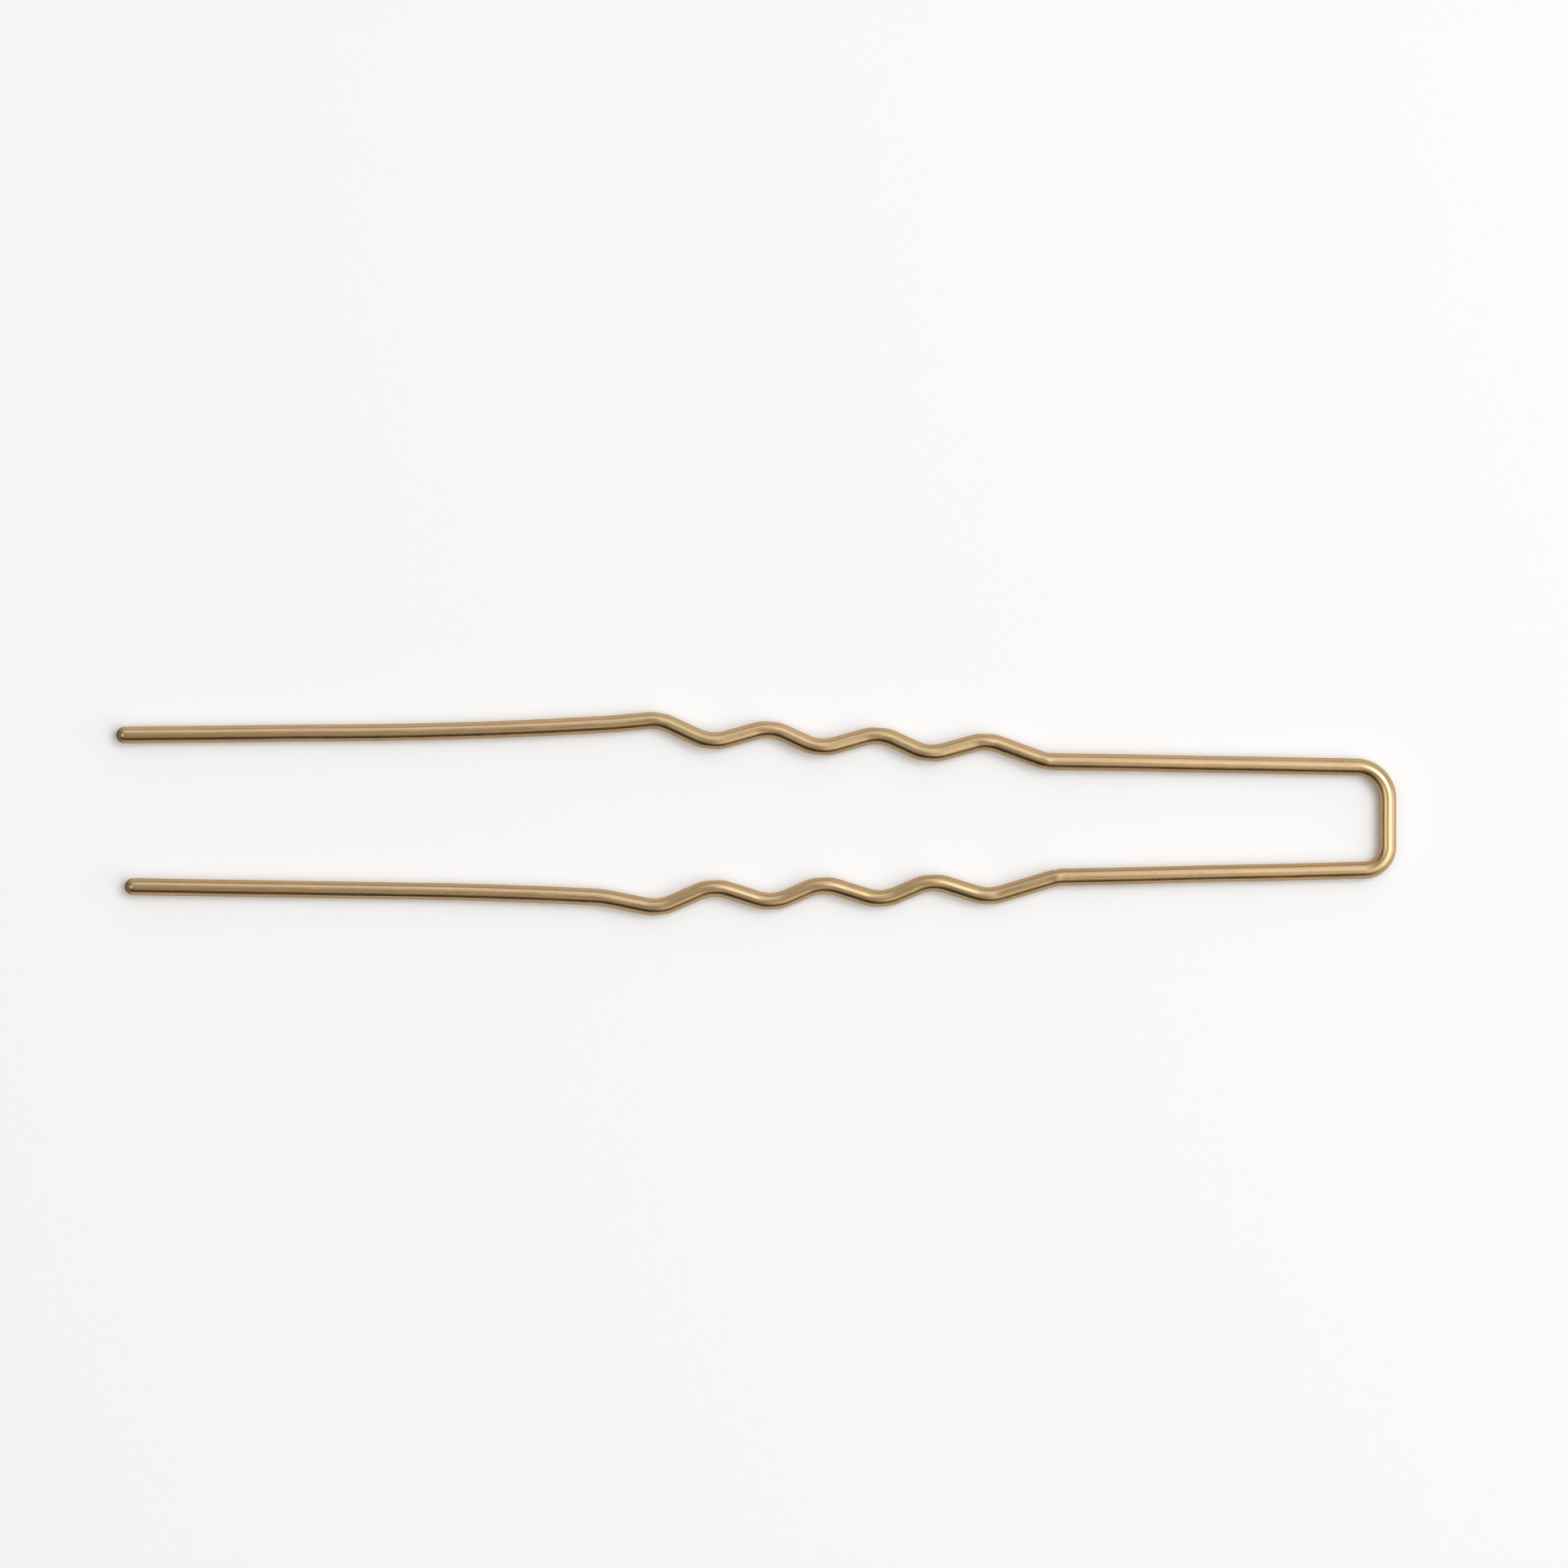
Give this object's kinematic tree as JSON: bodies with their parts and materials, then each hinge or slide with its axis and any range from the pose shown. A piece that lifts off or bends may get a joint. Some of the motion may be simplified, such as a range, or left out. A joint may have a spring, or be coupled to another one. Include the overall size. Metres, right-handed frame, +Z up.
{
  "type": "hairpin",
  "caption": "U-shaped wire hairpin with a plain rounded bow, crimped waves along both legs and smooth rounded tips, for pinning a bun or roll of hair.",
  "frame": {"origin": "on the surface the pin lies on, under the middle of its outer box", "axes": "+X along the pin towards its bow, +Y across it towards the longer leg, +Z up, square to the flat pin"},
  "size_m": [0.076, 0.012, 0.001],
  "materials": {
    "gold_wire": "satin gold-toned plating on round spring steel wire"
  },
  "bodies": {
    "bow_body": {"bow": "gold_wire"},
    "upper_leg_body": {"upper_leg": "gold_wire"},
    "lower_leg_body": {"lower_leg": "gold_wire"}
  },
  "joints": [
    {"name": "upper_leg_flex", "type": "hinge", "parent": "bow_body", "child": "upper_leg_body", "pos_m": [0.0275, 0.00292, 0.0005], "axis": [0, 0, -1], "range_deg": [-3.3, 5], "stiffness_Nm_per_rad": 0.26},
    {"name": "lower_leg_flex", "type": "hinge", "parent": "bow_body", "child": "lower_leg_body", "pos_m": [0.0275, -0.00356, 0.0005], "axis": [0, 0, 1], "range_deg": [-3.3, 5], "stiffness_Nm_per_rad": 0.26}
  ]
}
